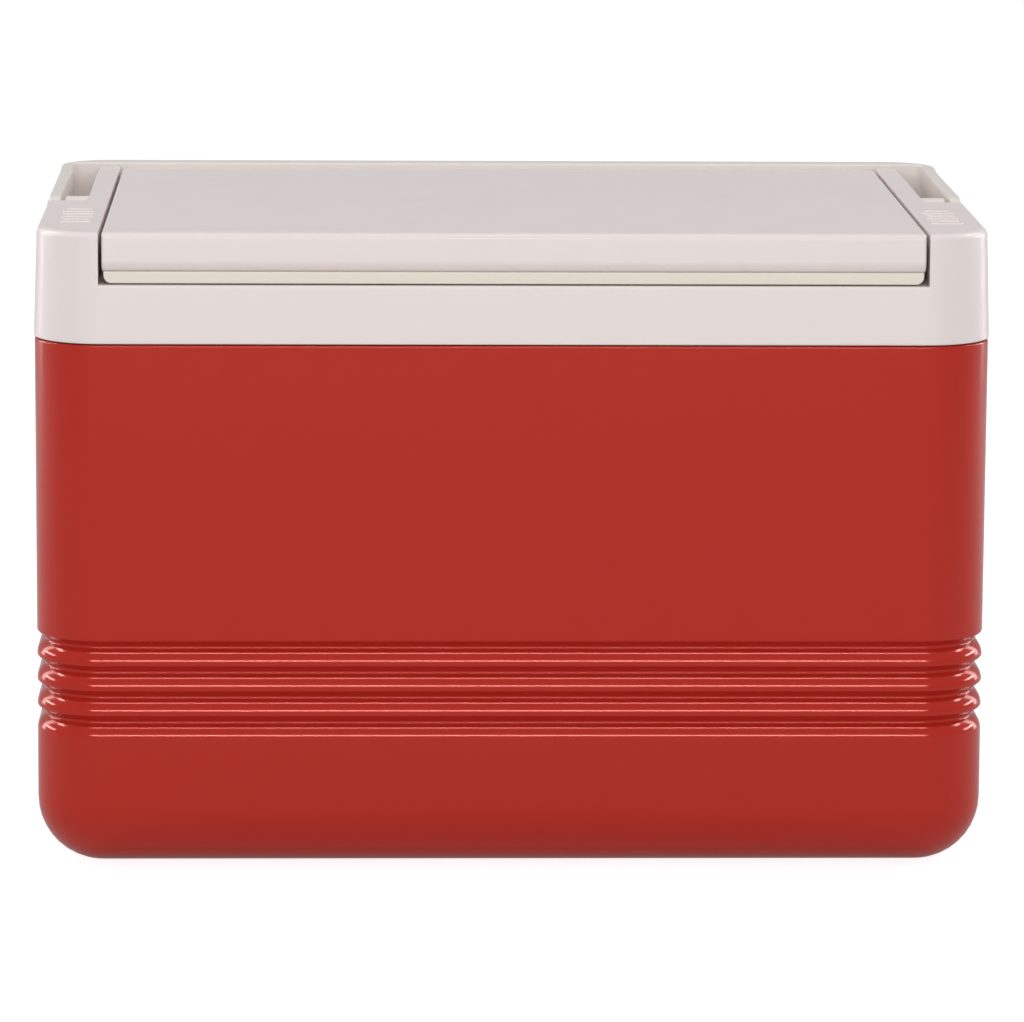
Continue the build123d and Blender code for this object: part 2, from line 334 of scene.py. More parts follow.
def new_group(name: str, inputs: Sequence[tuple[str, str, object]], outputs: Sequence[tuple[str, str]]):
    """Start a shader node group.

    Args:
        name: The group's name.
        inputs: Socket name, socket type and default of each input.
        outputs: Socket name and socket type of each output.

    Returns:
        The group, its input node and its output node.
    """
    group = bpy.data.node_groups.new(name, "ShaderNodeTree")
    for label, kind, default in inputs:
        socket = group.interface.new_socket(label, in_out="INPUT", socket_type=kind)
        if default is not None:
            socket.default_value = default
    for label, kind in outputs:
        group.interface.new_socket(label, in_out="OUTPUT", socket_type=kind)
    return group, group.nodes.new("NodeGroupInput"), group.nodes.new("NodeGroupOutput")


def add_noise(tree: bpy.types.NodeTree, scale: float, detail: float, roughness: float) -> bpy.types.Node:
    """Add a noise texture node with fixed settings."""
    noise = tree.nodes.new("ShaderNodeTexNoise")
    noise.inputs["Scale"].default_value = scale
    noise.inputs["Detail"].default_value = detail
    noise.inputs["Roughness"].default_value = roughness
    return noise


def add_range(
    tree: bpy.types.NodeTree, low: float, high: float, to_low: float, to_high: float
) -> bpy.types.Node:
    """Add a map range node that turns one span of values into another."""
    node = tree.nodes.new("ShaderNodeMapRange")
    for label, value in (("From Min", low), ("From Max", high), ("To Min", to_low), ("To Max", to_high)):
        node.inputs[label].default_value = value
    return node


def add_product(
    tree: bpy.types.NodeTree, first: bpy.types.NodeSocket, second: bpy.types.NodeSocket
) -> bpy.types.NodeSocket:
    """Multiply two sockets and give the product's socket."""
    node = tree.nodes.new("ShaderNodeMath")
    node.operation = "MULTIPLY"
    tree.links.new(first, node.inputs[0])
    tree.links.new(second, node.inputs[1])
    return node.outputs[0]


def moulded_grain_group() -> bpy.types.NodeTree:
    """Make the fine texture and slow colour drift of moulded plastic."""
    group, given, out = new_group(
        "moulded_grain",
        [
            ("Vector", "NodeSocketVector", None),
            ("Base Colour", "NodeSocketColor", (0.8, 0.8, 0.8, 1)),
            ("Drift Colour", "NodeSocketColor", (0.7, 0.7, 0.7, 1)),
            ("Drift", "NodeSocketFloat", 0.2),
            ("Low Roughness", "NodeSocketFloat", 0.3),
            ("High Roughness", "NodeSocketFloat", 0.4),
        ],
        [("Colour", "NodeSocketColor"), ("Roughness", "NodeSocketFloat"), ("Height", "NodeSocketFloat")],
    )
    link = group.links.new
    clouds = add_noise(group, 9.0, 3.0, 0.55)
    grain = add_noise(group, 2600.0, 2.0, 0.5)
    ripple = add_noise(group, 70.0, 2.0, 0.5)
    for node in (clouds, grain, ripple):
        link(given.outputs["Vector"], node.inputs["Vector"])
    mix = group.nodes.new("ShaderNodeMix")
    mix.data_type = "RGBA"
    link(add_product(group, clouds.outputs["Fac"], given.outputs["Drift"]), mix.inputs["Factor"])
    link(given.outputs["Base Colour"], mix.inputs[6])
    link(given.outputs["Drift Colour"], mix.inputs[7])
    link(mix.outputs[2], out.inputs["Colour"])
    rough = group.nodes.new("ShaderNodeMapRange")
    link(ripple.outputs["Fac"], rough.inputs["Value"])
    rough.inputs["From Min"].default_value = 0.3
    rough.inputs["From Max"].default_value = 0.7
    link(given.outputs["Low Roughness"], rough.inputs["To Min"])
    link(given.outputs["High Roughness"], rough.inputs["To Max"])
    link(rough.outputs[0], out.inputs["Roughness"])
    height = group.nodes.new("ShaderNodeMath")
    height.operation = "MULTIPLY_ADD"
    height.inputs[1].default_value = 0.35
    link(grain.outputs["Fac"], height.inputs[0])
    link(ripple.outputs["Fac"], height.inputs[2])
    link(height.outputs[0], out.inputs["Height"])
    return group


def edge_wear_group() -> bpy.types.NodeTree:
    """Make a mask of rubbed edges, broken up by noise."""
    group, given, out = new_group(
        "edge_wear",
        [("Vector", "NodeSocketVector", None), ("Amount", "NodeSocketFloat", 0.5)],
        [("Mask", "NodeSocketFloat")],
    )
    link = group.links.new
    shape = group.nodes.new("ShaderNodeNewGeometry")
    rims = add_range(group, 0.53, 0.62, 0.0, 1.0)
    link(shape.outputs["Pointiness"], rims.inputs["Value"])
    patches = add_noise(group, 60.0, 4.0, 0.6)
    link(given.outputs["Vector"], patches.inputs["Vector"])
    broken = add_range(group, 0.45, 0.7, 0.0, 1.0)
    link(patches.outputs["Fac"], broken.inputs["Value"])
    both = add_product(group, rims.outputs[0], broken.outputs[0])
    link(add_product(group, both, given.outputs["Amount"]), out.inputs["Mask"])
    return group


def settled_dust_group() -> bpy.types.NodeTree:
    """Make a faint mask of dust that lies on what faces up."""
    group, given, out = new_group(
        "settled_dust",
        [("Vector", "NodeSocketVector", None), ("Amount", "NodeSocketFloat", 0.1)],
        [("Mask", "NodeSocketFloat")],
    )
    link = group.links.new
    shape = group.nodes.new("ShaderNodeNewGeometry")
    parts = group.nodes.new("ShaderNodeSeparateXYZ")
    link(shape.outputs["Normal"], parts.inputs[0])
    upward = add_range(group, 0.6, 1.0, 0.0, 1.0)
    link(parts.outputs["Z"], upward.inputs["Value"])
    patches = add_noise(group, 22.0, 5.0, 0.62)
    link(given.outputs["Vector"], patches.inputs["Vector"])
    spread = add_range(group, 0.4, 0.75, 0.0, 1.0)
    link(patches.outputs["Fac"], spread.inputs["Value"])
    both = add_product(group, upward.outputs[0], spread.outputs[0])
    link(add_product(group, both, given.outputs["Amount"]), out.inputs["Mask"])
    return group


@dataclass
class EffectLibrary:
    """The shader groups that several finishes share, each made once."""

    grain: bpy.types.NodeTree = field(default_factory=moulded_grain_group)
    wear: bpy.types.NodeTree = field(default_factory=edge_wear_group)
    dust: bpy.types.NodeTree = field(default_factory=settled_dust_group)


# ---------------------------------------------------------------- finishes


@dataclass(frozen=True)
class MouldedFinish:
    """The finish of one moulded plastic, with its own colours and grain."""

    name: str
    colour: Colour
    drift_colour: Colour
    worn_colour: Colour
    low_roughness: float
    high_roughness: float
    drift: float = 0.35
    bump: float = 0.00004
    wear: float = 0.35
    dust: float = 0.10
    specular: float = 0.5
    specular_tint: Colour = (1.0, 1.0, 1.0)

    def material(self, effects: EffectLibrary) -> bpy.types.Material:
        """Build the finish's material.

        Args:
            effects: The shared shader groups.

        Returns:
            The material.
        """
        made = bpy.data.materials.new(self.name)
        made.use_nodes = True
        tree = made.node_tree
        link = tree.links.new
        shader = tree.nodes["Principled BSDF"]
        shader.inputs["Specular IOR Level"].default_value = self.specular
        shader.inputs["Specular Tint"].default_value = (*self.specular_tint, 1)
        place = tree.nodes.new("ShaderNodeTexCoord")
        grain = self._group(tree, effects.grain, place)
        grain.inputs["Base Colour"].default_value = (*self.colour, 1)
        grain.inputs["Drift Colour"].default_value = (*self.drift_colour, 1)
        grain.inputs["Drift"].default_value = self.drift
        grain.inputs["Low Roughness"].default_value = self.low_roughness
        grain.inputs["High Roughness"].default_value = self.high_roughness
        wear = self._group(tree, effects.wear, place)
        wear.inputs["Amount"].default_value = self.wear
        dust = self._group(tree, effects.dust, place)
        dust.inputs["Amount"].default_value = self.dust
        worn = self._mix(tree, wear.outputs["Mask"], grain.outputs["Colour"], self.worn_colour)
        dusty = self._mix(tree, dust.outputs["Mask"], worn, (0.62, 0.58, 0.53))
        link(dusty, shader.inputs["Base Color"])
        dulled = tree.nodes.new("ShaderNodeMath")
        dulled.operation = "MULTIPLY_ADD"
        dulled.inputs[1].default_value = 0.35
        link(dust.outputs["Mask"], dulled.inputs[0])
        link(grain.outputs["Roughness"], dulled.inputs[2])
        link(dulled.outputs[0], shader.inputs["Roughness"])
        bump = tree.nodes.new("ShaderNodeBump")
        bump.inputs["Strength"].default_value = 0.6
        bump.inputs["Distance"].default_value = self.bump
        link(grain.outputs["Height"], bump.inputs["Height"])
        link(bump.outputs["Normal"], shader.inputs["Normal"])
        return made

    @staticmethod
    def _group(
        tree: bpy.types.NodeTree, group: bpy.types.NodeTree, place: bpy.types.Node
    ) -> bpy.types.Node:
        """Place a shared group on the object's own coordinates."""
        node = tree.nodes.new("ShaderNodeGroup")
        node.node_tree = group
        tree.links.new(place.outputs["Object"], node.inputs["Vector"])
        return node

    @staticmethod
    def _mix(
        tree: bpy.types.NodeTree, mask: bpy.types.NodeSocket, under: bpy.types.NodeSocket, over: Colour
    ) -> bpy.types.NodeSocket:
        """Lay a colour over another through a mask and give the result's socket."""
        node = tree.nodes.new("ShaderNodeMix")
        node.data_type = "RGBA"
        tree.links.new(mask, node.inputs["Factor"])
        tree.links.new(under, node.inputs[6])
        node.inputs[7].default_value = (*over, 1)
        return node.outputs[2]


class Finish(Enum):
    """The plastics that the cooler is made of."""

    SHELL_RED = MouldedFinish(
        name="satin_red_shell",
        colour=(0.465, 0.0195, 0.0098),
        drift_colour=(0.440, 0.0175, 0.0088),
        worn_colour=(0.49, 0.050, 0.035),
        low_roughness=0.14,
        high_roughness=0.17,
        bump=0.000006,
        wear=0.2,
        dust=0.05,
        specular=0.95,
        specular_tint=(1.0, 0.42, 0.37),
    )
    TRIM_WHITE = MouldedFinish(
        name="satin_white_trim",
        colour=(0.850, 0.765, 0.747),
        drift_colour=(0.825, 0.735, 0.712),
        worn_colour=(0.84, 0.79, 0.76),
        low_roughness=0.285,
        high_roughness=0.34,
        bump=0.00002,
        wear=0.2,
        dust=0.04,
    )
    LINER_CREAM = MouldedFinish(
        name="cream_liner",
        colour=(0.820, 0.755, 0.665),
        drift_colour=(0.785, 0.715, 0.610),
        worn_colour=(0.83, 0.79, 0.71),
        low_roughness=0.34,
        high_roughness=0.45,
    )
    HANDLE_WHITE = MouldedFinish(
        name="satin_white_handle",
        colour=(0.820, 0.765, 0.720),
        drift_colour=(0.790, 0.730, 0.675),
        worn_colour=(0.85, 0.81, 0.77),
        low_roughness=0.285,
        high_roughness=0.34,
        bump=0.00002,
        wear=0.2,
        dust=0.04,
    )
    PIN_NYLON = MouldedFinish(
        name="pale_nylon_pin",
        colour=(0.70, 0.65, 0.58),
        drift_colour=(0.64, 0.59, 0.51),
        worn_colour=(0.78, 0.74, 0.68),
        low_roughness=0.30,
        high_roughness=0.44,
    )
    FOAM_YELLOW = MouldedFinish(
        name="rigid_yellow_foam",
        colour=(0.72, 0.58, 0.27),
        drift_colour=(0.62, 0.47, 0.18),
        worn_colour=(0.74, 0.62, 0.33),
        low_roughness=0.80,
        high_roughness=0.95,
        bump=0.0006,
        drift=0.8,
    )


@dataclass
class Paintshop:
    """Makes each finish once and hands it out."""

    effects: EffectLibrary = field(default_factory=EffectLibrary)
    made: dict[Finish, bpy.types.Material] = field(default_factory=dict)

    def dress(self, piece: bpy.types.Object, finish: Finish) -> None:
        """Give a piece one finish all over."""
        if finish not in self.made:
            self.made[finish] = finish.value.material(self.effects)
        piece.data.materials.clear()
        piece.data.materials.append(self.made[finish])


def install(piece: bpy.types.Object, body: str, slot: str, *nodes: str) -> None:
    """Let a piece ride on its body and stand for its CAD nodes.

    Args:
        piece: The finished piece.
        body: The CAD body that it rides on.
        slot: The record's material slot; not used.
        *nodes: The CAD nodes that it stands for.
    """
    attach(piece, body)
    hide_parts(*nodes)


def span(node: str) -> tuple[Vector, Vector]:
    """Give a CAD node's lowest and highest corners in millimetres."""
    low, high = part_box(node)
    return low / MM, high / MM


# ---------------------------------------------------------------- the cooler's sub-assemblies


@dataclass
class BodyShell:
    """The red outer shell, with grooves all the way round it."""

    corner: float = 25.5
    base_round: float = 24.0
    neck_step: float = 3.2
    wall: float = 2.2
    shoulder_below_top: float = 19.8
    shoulder_round: float = 0.7
    groove_count: int = 4
    groove_top: float = 84.9
    groove_pitch: float = 9.47
    groove_rise: float = 2.9
    groove_slope: float = math.tan(math.radians(50))
    groove_depth: float = 3.8
    valley_round: float = 1.0
    brow_round: float = 6.2
    tip_round: float = 1.1
    base_rim: float = 22.0
    base_recess: float = 1.5
    recess_corner: float = 8.0
    recess_slope: float = 0.8
    floor_thickness: float = 4.0

    def profile(self, top: float) -> list[Point]:
        """Give the shell's section as pairs of inset and height, from under the base to inside."""
        shoulder = top - self.shoulder_below_top
        corners = [Corner(self.base_round, 0), Corner(0, 0, self.base_round)]
        for index in reversed(range(self.groove_count)):
            valley = self.groove_top - self.groove_pitch * index
            corners.append(Corner(0, valley - self.groove_depth / self.groove_slope, self.brow_round))
            corners.append(Corner(self.groove_depth, valley, self.valley_round))
            corners.append(Corner(0, valley + self.groove_rise, self.tip_round))
        corners.append(Corner(0, shoulder, self.shoulder_round))
        corners.append(Corner(self.neck_step, shoulder))
        corners.append(Corner(self.neck_step, top))
        corners.append(Corner(self.neck_step + self.wall, top))
        inner = self.neck_step + self.wall
        corners.append(Corner(inner, self.floor_thickness, self.base_round - inner - 1))
        corners.append(Corner(self.base_round, self.floor_thickness))
        return rounded_line(corners)

    def build(self) -> bpy.types.Object:
        """Model the shell."""
        low, high = span("outer_shell")
        outline = RoundedOutline(high.x, high.y, self.corner)
        mesh = bmesh.new()
        path = self.profile(high.z)
        first = outline.loop(mesh, path[0][0], path[0][1])
        last = outline.rise(mesh, first, path[1:])
        bmesh.ops.holes_fill(mesh, edges=last, sides=0)
        inset = self.base_round + self.base_rim
        recess = RoundedOutline(high.x - inset, high.y - inset, self.recess_corner)
        edge = recess.loop(mesh, 0, 0)
        join_rings(mesh, edge, first)
        sunk = recess.rise(mesh, edge, [(self.recess_slope, self.base_recess)])
        bmesh.ops.holes_fill(mesh, edges=sunk, sides=0)
        return finish_mesh(mesh, "shell_moulding", crease=50)

    def dress(self, piece: bpy.types.Object, shop: Paintshop) -> None:
        """Paint the shell red and put it on the tub."""
        shop.dress(piece, Finish.SHELL_RED)
        install(piece, "tub", "shell_red", "outer_shell")


@dataclass
class CollarRing:
    """The pale collar: skirt, deck, and an ear with its rib on each side."""

    corner: float = 25.8
    draft: float = math.tan(math.radians(1.95))
    wall: float = 3.3
    deck: float = 2.4
    deck_height: float = 21.8
    mouth_half_width: float = 150.2
    mouth_half_depth: float = 95.2
    mouth_corner: float = 21.0
    ear_inside: float = 153.1
    ear_rear: float = -14.0
    rib_outside: float = 161.4
    rib_rear: float = 104.0
    rib_round: float = 3.4
    ear_round: float = 2.4
    edge_round: float = 0.6
    notch_round: float = 1.0
    foot_round: float = 0.7
    mark_lengths: tuple[float, ...] = (12.0, 10.6, 12.0, 11.2, 12.0, 9.4)
    mark_middle: tuple[float, float] = (162.8, -62.0)
    mark_pitch: float = 8.0
    mark_width: float = 3.0
    mark_height: float = 0.35
    boss_radius: float = 7.5
    boss_end: float = 170.3
    pivot_drop: float = 7.5
    web_width: float = 4.0

    def build(self) -> bpy.types.Object:
        """Model the collar as one mesh."""
        low, high = span("collar")
        deck_top = low.z + self.deck_height
        outline = RoundedOutline(high.x, high.y, self.corner, 14)
        mouth = RoundedOutline(self.mouth_half_width, self.mouth_half_depth, self.mouth_corner, 14)
        mesh = bmesh.new()
        foot = outline.loop(mesh, self.wall, low.z)
        skirt = outline.rise(mesh, foot, [(0, low.z), (self.draft * self.deck_height, deck_top)])
        under = outline.rise(mesh, foot, [(self.wall, deck_top - self.deck)])
        lip = mouth.loop(mesh, 0, deck_top)
        bmesh.ops.bridge_loops(mesh, edges=skirt + lip)
        lip_under = mouth.rise(mesh, lip, [(0, deck_top - self.deck)])
        bmesh.ops.bridge_loops(mesh, edges=under + lip_under)
        bmesh.ops.recalc_face_normals(mesh, faces=mesh.faces)
        for side in (-1, 1):
            self._raise_ear(mesh, outline, side, deck_top, high.z)
        bmesh.ops.remove_doubles(mesh, verts=mesh.verts, dist=MERGE)
        self._round_edges(mesh, low.z, deck_top, high.z)
        for side in (-1, 1):
            self._add_boss(mesh, side, deck_top, high.z - self.pivot_drop)
            self._add_marks(mesh, side, high.z)
        return finish_mesh(mesh, "collar_moulding", crease=40)

    def _add_marks(self, mesh: bmesh.types.BMesh, side: int, top: float) -> None:
        """Raise a row of plain bars on one ear's top."""
        middle_x, middle_y = self.mark_middle
        for index, length in enumerate(self.mark_lengths):
            y = middle_y + self.mark_pitch * (index - (len(self.mark_lengths) - 1) / 2)
            spot = Matrix.Translation(Vector((side * middle_x, y, top)) * MM)
            bar = bmesh.ops.create_cube(mesh, size=1.0, matrix=spot)["verts"]
            bmesh.ops.scale(
                mesh,
                verts=bar,
                space=spot.inverted(),
                vec=Vector((length, self.mark_width, 2 * self.mark_height)) * MM,
            )
            corners = {e for v in bar for e in v.link_edges if self._is_upright(e)}
            soften(mesh, corners, self.mark_width * 0.45, 4)

    def _raise_ear(
        self, mesh: bmesh.types.BMesh, outline: RoundedOutline, side: int, deck_top: float, top: float
    ) -> None:
        """Push one ear up out of the deck, with the skirt's draft carried on."""
        level = deck_top * MM
        for axis, place in ((0, side * self.ear_inside), (1, self.ear_rear)):
            cut(mesh, axis, place, flat_faces(mesh, level))
        for axis, place in ((0, side * self.rib_outside), (1, self.rib_rear)):
            cut(mesh, axis, place, flat_faces(mesh, level))
        deck = flat_faces(mesh, level)
        chosen = [f for f in deck if self._in_ear(f.calc_center_median() / MM, side)]
        raised = push(mesh, chosen, Vector((0, 0, (top - deck_top) * MM)))
        bmesh.ops.delete(mesh, geom=[f for f in chosen if f.is_valid], context="FACES")
        lean = self.draft * (top - deck_top)
        inset = self.draft * self.deck_height
        for vert in {v for f in raised for v in f.verts}:
            way = outline.normal(vert.co.x, vert.co.y)
            corner_x, corner_y = outline.half_width - outline.corner, outline.half_depth - outline.corner
            across = Vector((max(abs(vert.co.x) / MM - corner_x, 0), max(abs(vert.co.y) / MM - corner_y, 0)))
            if abs(across.length - (outline.corner - inset)) < 0.05:
                vert.co -= way * lean * MM

    def _in_ear(self, centre: Vector, side: int) -> bool:
        """Tell whether a place on the deck, in millimetres, is under an ear or its rib."""
        if side * centre.x < self.ear_inside:
            return False
        block = centre.y < self.ear_rear
        rib = side * centre.x < self.rib_outside and centre.y < self.rib_rear
        return block or rib

    def _round_edges(self, mesh: bmesh.types.BMesh, foot: float, deck_top: float, top: float) -> None:
        """Round the collar's rims, each by its own radius."""
        upright = [
            e
            for e in sharp_edges(mesh)
            if self._is_upright(e) and abs(e.verts[0].co.y - self.rib_rear * MM) < 1e-5
        ]
        soften(mesh, upright, self.rib_round, 5)
        flat = [e for e in mesh.edges if self._at(e, top)]
        bmesh.ops.dissolve_limit(mesh, angle_limit=0.01, verts=[], edges=flat)
        rims = [e for e in sharp_edges(mesh) if self._at(e, top)]
        soften(mesh, [e for e in rims if self._is_outside(e)], self.ear_round, 5, clamp=False)
        rims = [e for e in sharp_edges(mesh) if self._at(e, top)]
        soften(mesh, rims, self.edge_round, 3, clamp=False)
        rims = [e for e in sharp_edges(mesh) if self._at(e, deck_top)]
        soften(mesh, rims, self.notch_round, 3)
        rims = [e for e in sharp_edges(mesh) if self._at(e, foot)]
        soften(mesh, rims, self.foot_round, 3)

    @staticmethod
    def _at(edge: bmesh.types.BMEdge, level: float) -> bool:
        """Tell whether an edge lies at one height, in millimetres."""
        return all(abs(v.co.z - level * MM) < 1e-5 for v in edge.verts)

    def _is_outside(self, edge: bmesh.types.BMEdge) -> bool:
        """Tell whether an edge of an ear's top lies on the collar's outside."""
        high = span("collar")[1]
        inset = self.draft * (high.z - span("collar")[0].z) + 0.1
        outline = RoundedOutline(high.x - inset, high.y - inset, self.corner - inset)
        return all(not outline.holds(vert.co) for vert in edge.verts)

    @staticmethod
    def _is_upright(edge: bmesh.types.BMEdge) -> bool:
        """Tell whether an edge runs up and down."""
        way = (edge.verts[0].co - edge.verts[1].co).normalized()
        return abs(way.z) > 0.9

    def _add_boss(self, mesh: bmesh.types.BMesh, side: int, deck_top: float, height: float) -> None:
        """Add the round boss that carries the handle, and the web below it."""
        start = self.rib_outside - 2
        length = self.boss_end - start
        spot = Matrix.Translation(Vector((side * (start + length / 2), 0, height)) * MM)
        made = bmesh.ops.create_cone(
            mesh,
            cap_ends=True,
            segments=40,
            radius1=self.boss_radius * MM,
            radius2=self.boss_radius * MM,
            depth=length * MM,
            matrix=spot @ Matrix.Rotation(math.pi / 2, 4, "Y"),
        )["verts"]
        rim = {e for v in made for e in v.link_edges if len(e.link_faces) == 2}
        soften(mesh, [e for e in rim if e.calc_face_angle(0) > 1 and side * e.verts[0].co.x > 0.165], 0.6, 2)
        web = bmesh.ops.create_cube(mesh, size=1.0)["verts"]
        bmesh.ops.scale(mesh, verts=web, vec=Vector((length - 1, self.web_width, height - deck_top)) * MM)
        middle = Vector((side * (start + (length - 1) / 2), 0, (height + deck_top) / 2))
        bmesh.ops.translate(mesh, verts=web, vec=middle * MM)

    def dress(self, piece: bpy.types.Object, shop: Paintshop) -> None:
        """Paint the collar and put it on the tub."""
        shop.dress(piece, Finish.TRIM_WHITE)
        install(piece, "tub", "trim_white", "collar")


@dataclass
class FoodTub:
    """The smooth tub inside the cooler, with the flange that hangs it from the collar."""

    wall: float = 2.0
    draft: float = math.tan(math.radians(0.87))
    mouth_half_width: float = 149.95
    mouth_half_depth: float = 94.95
    corner: float = 20.9
    floor_round: float = 12.0
    flange: float = 2.5
    flange_corner: float = 20.1

    def side(self, wall: float, top: float, bottom: float) -> list[Point]:
        """Give the section of the tub's inner or outer face, as pairs of inset and height."""
        lean = self.draft * (top - bottom)
        return rounded_line(
            [
                Corner(-wall, top),
                Corner(lean - wall, bottom, self.floor_round + wall),
                Corner(lean + self.floor_round + 3, bottom),
            ]
        )

    def build(self) -> bpy.types.Object:
        """Model the tub as one closed skin."""
        low, high = span("inner_liner")
        mouth = RoundedOutline(self.mouth_half_width, self.mouth_half_depth, self.corner)
        brim = RoundedOutline(high.x, high.y, self.flange_corner)
        mesh = bmesh.new()
        under = high.z - self.flange
        rim = mouth.loop(mesh, 0, high.z)
        floor = mouth.rise(mesh, rim, self.side(0, high.z, low.z + self.wall)[1:])
        edge = brim.loop(mesh, 0, high.z)
        join_rings(mesh, rim, edge)
        edge = brim.rise(mesh, edge, [(0, under)])
        neck = mouth.loop(mesh, -self.wall, under)
        join_rings(mesh, neck, edge)
        base = mouth.rise(mesh, neck, self.side(self.wall, under, low.z)[1:])
        bmesh.ops.holes_fill(mesh, edges=floor, sides=0)
        bmesh.ops.holes_fill(mesh, edges=base, sides=0)
        return finish_mesh(mesh, "food_tub", crease=45)

    def dress(self, piece: bpy.types.Object, shop: Paintshop) -> None:
        """Paint the tub and put it in its place."""
        shop.dress(piece, Finish.LINER_CREAM)
        install(piece, "tub", "liner_white", "inner_liner")


@dataclass
class Lid:
    """The lid: an outer cover, and an inner pan whose edge shows as a band below it."""

    hinge_y: float = 96.0
    hinge_round: float = 6.9
    front_lean: float = 0.5
    top_round: float = 2.2
    under_round: float = 4.6
    side_round: float = 2.2
    front_corner: float = 1.6
    band_recess: float = 1.3
    band_rear: float = 95.5
    band_round: float = 3.0
    band_above_plug: float = 14.1
    band_overlap: float = 0.6
    plug_half_width: float = 146.6
    plug_half_depth: float = 91.5
    plug_corner: float = 17.0
    plug_round: float = 4.0
    plug_height: float = 16.0
    plug_face: float = 2.0
    panel_inset: float = 16.0
    panel_depth: float = 1.6
    panel_slope: float = 1.2
    panel_corner: float = 8.0

    def build_cover(self) -> bpy.types.Object:
        """Model the lid's cover."""
        low, high = span("lid_cover")
        corners = [
            Corner(low.y + self.front_lean, high.z, self.top_round),
            Corner(self.hinge_y + self.hinge_round, high.z, self.hinge_round),
            Corner(self.hinge_y + self.hinge_round, low.z, 1.0),
            Corner(low.y, low.z, self.under_round),
        ]
        outline = rounded_line(corners, closed=True)
        mesh = bmesh.new()
        face = face_from(mesh, [Vector((low.x, u, v)) * MM for u, v in outline])
        push(mesh, [face], Vector((high.x - low.x, 0, 0)) * MM)
        bmesh.ops.recalc_face_normals(mesh, faces=mesh.faces)
        ends = [e for e in sharp_edges(mesh, 70) if abs(e.verts[0].co.x - e.verts[1].co.x) < 1e-6]
        soften(mesh, ends, self.side_round, 3)
        return finish_mesh(mesh, "lid_top_moulding", crease=40)

    def build_pan(self) -> bpy.types.Object:
        """Model the lid's inner pan, with its plug."""
        low, high = span("lid_liner")
        front = low.y
        mesh = bmesh.new()
        face = face_from(mesh, [Vector((u, front, v)) * MM for u, v in self._band_outline(low, high)])
        push(mesh, [face], Vector((0, self.band_rear - front, 0)) * MM)
        bmesh.ops.recalc_face_normals(mesh, faces=mesh.faces)
        rims = [e for e in sharp_edges(mesh, 60) if abs(e.verts[0].co.y - e.verts[1].co.y) < 1e-6]
        soften(mesh, [e for e in rims if e.verts[0].co.y < 0], 0.5, 2)
        self._add_plug(mesh, low.z)
        return finish_mesh(mesh, "lid_pan_moulding", crease=40)

    def _band_outline(self, low: Vector, high: Vector) -> list[Point]:
        """Give the band's outline seen from the front, in millimetres."""
        bottom = low.z + self.band_above_plug
        top = high.z + self.band_overlap
        return rounded_line(
            [
                Corner(low.x, top),
                Corner(low.x, bottom, self.band_round),
                Corner(high.x, bottom, self.band_round),
                Corner(high.x, top),
            ],
            closed=True,
        )

    def _add_plug(self, mesh: bmesh.types.BMesh, bottom: float) -> None:
        """Add the rounded plug that goes down into the mouth, with a panel sunk into its face."""
        outline = RoundedOutline(self.plug_half_width, self.plug_half_depth, self.plug_corner)
        top = bottom + self.plug_height
        face = self.plug_round + self.plug_face
        rim = outline.loop(mesh, 0, top)
        path = rounded_line(
            [Corner(0, top), Corner(0, bottom, self.plug_round), Corner(face, bottom)]
        )
        last = outline.rise(mesh, rim, path[1:])
        bmesh.ops.holes_fill(mesh, edges=rim, sides=0)
        inset = face + self.panel_inset
        panel = RoundedOutline(self.plug_half_width - inset, self.plug_half_depth - inset, self.panel_corner)
        edge = panel.loop(mesh, 0, bottom)
        join_rings(mesh, edge, last)
        sunk = panel.rise(mesh, edge, [(self.panel_slope, bottom + self.panel_depth)])
        bmesh.ops.holes_fill(mesh, edges=sunk, sides=0)

    def dress(self, cover: bpy.types.Object, pan: bpy.types.Object, shop: Paintshop) -> None:
        """Paint both halves of the lid and put them on it."""
        shop.dress(cover, Finish.TRIM_WHITE)
        install(cover, "lid", "trim_white", "lid_cover")
        shop.dress(pan, Finish.LINER_CREAM)
        install(pan, "lid", "liner_white", "lid_liner")


